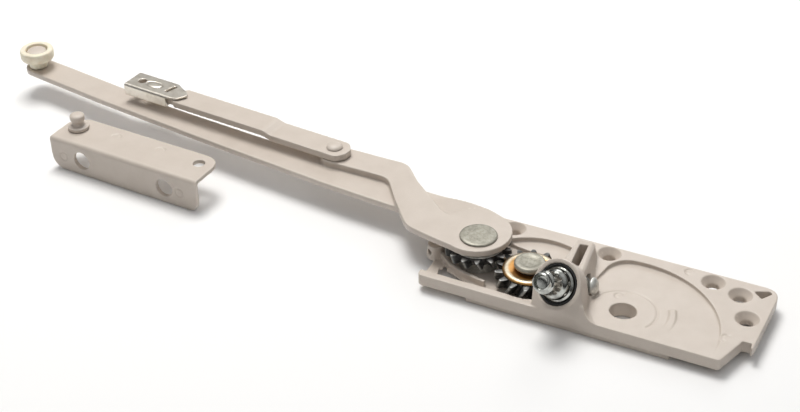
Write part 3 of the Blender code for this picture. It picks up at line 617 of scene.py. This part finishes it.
def shaft_mesh():
    """Worm, journal, shoulder and splined stud in one skin."""
    around = 96
    rows = 80
    low, high = WORM_SPAN
    root = WORM_ROOT_R
    rings = [[(r, s)] * around for r, s in ((2.9, -22.7), (3.1, -22.5), (3.1, -20.4),
                                            (root - 0.1, -20.4),
                                            (root - 0.1, low - 0.4))]
    for row in range(rows + 1):
        s = low + (high - low) * row / rows
        fade = min(1.0, row / 6.0, (rows - row) / 6.0)
        ring = []
        for i in range(around):
            phase = (s / WORM_LEAD + (TAU * i / around - WORM_PHASE) / TAU + 0.5) % 1.0 - 0.5
            height = min(1.0, max(0.0, 1.0 - (abs(phase) * WORM_LEAD - 0.6) / 0.7))
            ring.append((root + fade * (WORM_TIP_R - root) * height, s))
        rings.append(ring)
    plain = [(4.6, high + 0.6), (4.6, -5.6), (6.9, -5.6), (6.9, -3.4), (6.0, -3.0), (6.0, -1.5),
             (6.95, -1.4),
             (6.95, -0.6), (6.7, -0.2), (6.1, 0.2)]
    rings += [[point] * around for point in plain]
    for k in range(9):
        s = 0.4 + 2.4 * k / 8.0
        rings.append([(5.98 - 0.25 * (k / 8.0) ** 2 - shoulder_dimple(i, around, s),
                       s) for i in range(around)])
    rings += [[(5.35, 3.3)] * around, [(4.9, 3.9)] * around, [(4.6, 4.3)] * around]
    for s, depth in ((4.6, 0.0), (5.2, 1.0), (8.0, 1.0), (10.8, 1.0), (11.3, 0.0)):
        rings.append([(4.48 - 0.5 * depth * max(0.0, math.cos(SPLINES * TAU * i / around)) ** 0.6, s)
                      for i in range(around)])
    rings += [[point] * around for point in ((4.3, 11.6), (3.9, 12.0), (3.7, 12.2), (3.7, 13.6),
                                             (3.5, 14.1),
                                             (3.15, 14.3), (2.8, 14.2), (2.6, 13.5), (2.3, 12.5),
                                             (1.4, 12.1), (0.3, 12.0))]
    sections = [[(r * math.cos(TAU * i / around), r * math.sin(TAU * i / around), s)
                 for i, (r, s) in enumerate(ring)] for ring in rings]
    return skinned(sections)


def shoulder_dimple(index, around, s):
    """Row of small staking dimples round the shoulder."""
    angle = (index / around * STAKES) % 1.0 - 0.5
    reach = math.hypot(angle * 4.7, s - 1.6)
    return 0.55 * max(0.0, 1.0 - (reach / 0.95) ** 2)


def make_shaft():
    """Splined crank shaft and the thrust collar behind its worm."""
    chrome = plated("stud_chrome", (0.58, 0.59, 0.56), 0.1, 0.3, 0.9, 0.05, 1.0, (0.38, 0.38, 0.36))
    piece("splined_shaft", placed(shaft_mesh(), shaft_frame()), chrome, "crank", "shaft_chrome",
          "crank_shaft",
          sharp=45.0)
    ring = [(5.55, -18.7), (5.6, -19.2), (5.45, -19.7), (5.0, -20.05), (4.25, -20.15), (4.25, -18.7)]
    piece("worm_collar", placed(edged(lathe(ring)), shaft_frame()), COLLAR_ZINC, "crank",
          "washer_steel",
          "thrust_collar")


# ------------------------------------------------------------------ arms

def over_seam(point, normal):
    """Grow the round head across the gap to the long arm, so the two read as one pressing."""
    away = Vector((point.x - HEAD_CENTRE[0], point.y - HEAD_CENTRE[1]))
    angle = math.degrees(math.atan2(away.y, away.x))
    if 63.0 < -point.x < 75.0 and 3.5 < point.y < 9.8 and away.length > HEAD_R - 0.3:
        return Vector((point.x + 0.3, point.y + 0.6, point.z))
    if abs(away.length - HEAD_R) > 0.2 or not 80.0 < angle < 166.0:
        return point
    away *= (HEAD_R + 0.6) / away.length
    return Vector((HEAD_CENTRE[0] + away.x, HEAD_CENTRE[1] + away.y, point.z))


def joined(*meshes):
    """Several meshes as one; the voxel skin then fuses them."""
    both = bmesh.new()
    for mesh in meshes:
        both.from_mesh(mesh)
    whole = bpy.data.meshes.new("joined")
    both.to_mesh(whole)
    both.free()
    return whole


def make_arms():
    """Both arm plates as one painted pressing, with their rivets and the track roller."""
    plates = softened(joined(copy_of("long_arm"), moved(copy_of("short_arm"), over_seam)), *CAST_SKIN)
    piece("arm_plates", plates, PLATE_PAINT, "arms", "painted_steel", "long_arm", "short_arm", sharp=0)
    pin = [(0.0, 22.15), (1.8, 22.1), (3.2, 21.9), (4.2, 21.5), (4.6, 20.9), (3.0, 20.5), (3.0, 13.2),
           (2.1, 13.2),
           (2.1, 10.0), (0.0, 10.0)]
    piece("roller_pin", placed(edged(lathe(pin)), at(ROLLER)), PLATE_PAINT, "arms", "painted_steel",
          "roller_rivet")
    pin = [(0.0, 21.0), (1.4, 20.9), (2.4, 20.65), (3.1, 20.25), (3.6, 19.6), (2.1, 19.6), (2.1, 13.2),
           (0.0, 13.2)]
    piece("link_pin", placed(edged(lathe(pin), 0.08), at(LINK_PIN)), PLATE_PAINT, "arms",
          "painted_steel",
          "link_rivet")
    wheel = [(5.15, 22.2), (5.5, 22.4), (6.9, 22.4), (7.45, 22.2), (7.75, 21.8), (7.85, 21.2),
             (7.85, 18.8),
             (7.65, 18.1), (7.2, 17.5), (6.3, 17.1), (5.0, 16.85), (4.5, 16.5), (4.3, 13.5),
             (3.4, 13.5),
             (3.4, 19.8), (4.9, 20.1), (5.05, 21.5)]
    piece("roller_wheel", placed(edged(lathe(wheel), 0.12), at(ROLLER)), nylon("roller_nylon"),
          "track_roller",
          "roller_nylon", "roller")


def clip_form(point, normal):
    """Round the two folds of the clip and raise the oval stiffener on its roof."""
    side = math.copysign(1.0, point.y)
    inward, down = bent(point, CLIP_HALF - abs(point.y), CLIP_TOP, CLIP_FOLD_R)
    lift = 0.0
    if point.z > CLIP_TOP - 1.1:
        oval = math.hypot((point.x - 98.1) / 3.5, point.y / 1.9)
        lift = 0.15 * (1.0 - min(1.0, oval) ** 4)
        lift -= bead(oval - 1.15, 0.15, 0.15)
        lift *= min(1.0, max(0.0, CLIP_HALF - CLIP_FOLD_R - abs(point.y)))
    return Vector((point.x, point.y - side * inward, point.z + down + lift))


def make_link():
    """Painted link strap and the plated spring clip on its tongue."""
    strap = softened(copy_of("link"), *LINK_SKIN)
    piece("link_plate", strap, PLATE_PAINT, "link_strap", "painted_steel", "link", sharp=0)
    frame_in = link_frame()
    spring = placed(softened(copy_of("snap_clip"), *CLIP_SKIN), frame_in.inverted())
    spring = placed(moved(spring, clip_form), frame_in)
    nickel = plated("clip_nickel", (0.74, 0.70, 0.63), 0.28, 0.44, 0.9, 0.02, 1.0, (0.82, 0.80, 0.76))
    piece("spring_clip", spring, nickel, "clip", "clip_nickel", "snap_clip", sharp=0)


def bracket_form(point, normal):
    """Roll the outer bend and press in the small marks left by the tooling."""
    inward, down = bent(point, point.y, BRACKET_TOP, BRACKET_FOLD_R)
    push, lift = 0.0, 0.0
    if normal.y < -0.8:
        for x, z in FLANGE_MARKS:
            push += bead(math.hypot(point.x - x, point.z - z) - 2.0, 0.45, 0.32)
    if normal.z > 0.8:
        for x, y in ROOF_MARKS:
            away = Vector((point.x - x, point.y - y))
            if away.y > -0.6:
                lift -= bead(away.length - 1.9, 0.4, 0.3)
    return Vector((point.x, point.y + inward + push, point.z + down + lift))


def make_bracket():
    """Loose sash bracket and its stud."""
    frame_in = Matrix.Rotation(BRACKET_TURN, 4, 'Z')
    frame_in.translation = Vector((*BRACKET_ORIGIN, 0.0)) * MM
    plate = placed(softened(copy_of("sash_bracket"), *BRACKET_SKIN), frame_in.inverted())
    plate = placed(moved(plate, bracket_form), frame_in)
    piece("bracket_plate", plate, PLATE_PAINT, "bracket", "painted_steel", "sash_bracket", sharp=0)
    pin = [(0.0, 23.0), (1.8, 22.95), (2.7, 22.7), (3.2, 22.2), (3.3, 21.5), (3.2, 20.2), (2.7, 19.6),
           (2.6, 19.2),
           (2.6, 18.1), (3.0, 17.6), (4.3, 17.4), (4.65, 17.1), (4.7, 16.2), (4.5, 15.8), (2.1, 15.8),
           (2.1, 13.0),
           (0.0, 13.0)]
    piece("bracket_pin", placed(edged(lathe(pin), 0.1), at(STUD)), PLATE_PAINT, "bracket",
          "painted_steel",
          "bracket_stud")


# ------------------------------------------------------------------ studio

CAMERA_PLACE = (160.70, -473.97, 384.79)
CAMERA_TURN = (-27.469, 34.443, -1.312)
CAMERA_LENS = 71.84
SENSOR_WIDTH = 36.0
LIGHT_TARGET = (-0.1, 0.0, 0.0)
FLOOR_HALF = 6.0
FLOOR_DROP = 0.0002


def make_camera():
    """Camera at the photographed view: azimuth, elevation and roll in degrees."""
    azimuth, elevation, roll = (math.radians(a) for a in CAMERA_TURN)
    ahead = Vector((math.sin(azimuth) * math.cos(elevation), math.cos(azimuth) * math.cos(elevation),
                    -math.sin(elevation)))
    right = Vector((math.cos(azimuth), -math.sin(azimuth), 0.0))
    up = right.cross(ahead)
    x = right * math.cos(roll) + up * math.sin(roll)
    y = up * math.cos(roll) - right * math.sin(roll)
    data = bpy.data.cameras.new("camera")
    data.lens = CAMERA_LENS
    data.sensor_width = SENSOR_WIDTH
    data.clip_start, data.clip_end = 0.01, 20.0
    camera = bpy.data.objects.new("camera", data)
    bpy.context.scene.collection.objects.link(camera)
    matrix = Matrix((x, y, -ahead)).transposed().to_4x4()
    matrix.translation = Vector(CAMERA_PLACE) * MM
    camera.matrix_world = matrix
    bpy.context.scene.camera = camera


def area_light(name, place, size, power, colour=(1.0, 1.0, 1.0)):
    """Round soft light aimed at the middle of the object."""
    data = bpy.data.lights.new(name, 'AREA')
    data.shape = 'DISK'
    data.size = size
    data.energy = power
    data.color = colour
    lamp = bpy.data.objects.new(name, data)
    bpy.context.scene.collection.objects.link(lamp)
    lamp.location = place
    lamp.rotation_mode = 'QUATERNION'
    lamp.rotation_quaternion = (Vector(LIGHT_TARGET) - Vector(place)).to_track_quat('-Z', 'Y')


def make_studio():
    """Sky that brightens towards the top, three soft lights and a pale floor."""
    world = bpy.data.worlds.new("studio")
    bpy.context.scene.world = world
    world.use_nodes = True
    tree = world.node_tree
    sky = tree.nodes.new('ShaderNodeTexGradient')
    where = tree.nodes.new('ShaderNodeTexCoord')
    turn = tree.nodes.new('ShaderNodeMapping')
    turn.inputs["Rotation"].default_value = (0.0, math.radians(90.0), 0.0)
    ramp = tree.nodes.new('ShaderNodeValToRGB')
    ramp.color_ramp.elements[0].position = 0.2
    ramp.color_ramp.elements[0].color = (0.04, 0.04, 0.04, 1.0)
    ramp.color_ramp.elements[1].position = 0.75
    ramp.color_ramp.elements[1].color = (1.0, 1.0, 1.0, 1.0)
    tree.links.new(where.outputs["Generated"], turn.inputs["Vector"])
    tree.links.new(turn.outputs["Vector"], sky.inputs["Vector"])
    tree.links.new(sky.outputs["Fac"], ramp.inputs["Fac"])
    tree.links.new(ramp.outputs["Color"], tree.nodes["Background"].inputs["Color"])
    tree.nodes["Background"].inputs["Strength"].default_value = 0.5

    area_light("key", (-0.40, 0.30, 1.1), 0.6, 10.7, (1.0, 0.985, 0.96))
    area_light("fill", (0.5, -1.0, 0.8), 0.8, 0.2)
    area_light("rim", (-0.2, 0.9, 0.6), 0.5, 1.6)

    floor = bpy.data.meshes.new("floor")
    half = FLOOR_HALF
    floor.from_pydata([(x, y, -FLOOR_DROP) for x, y in ((-half, -half), (half, -half), (half, half),
                                                        (-half, half))],
                      [], [(0, 1, 2, 3)])
    ground = bpy.data.objects.new("floor", floor)
    bpy.context.scene.collection.objects.link(ground)
    sheet = Finish("floor_white", (0.93, 0.93, 0.93), 0.9)
    floor.materials.append(sheet.material)
    bpy.context.scene.view_settings.view_transform = 'Standard'
    bpy.context.scene.view_settings.look = 'None'


make_camera()
make_studio()
make_housing()
make_gears()
make_shaft()
make_arms()
make_link()
make_bracket()
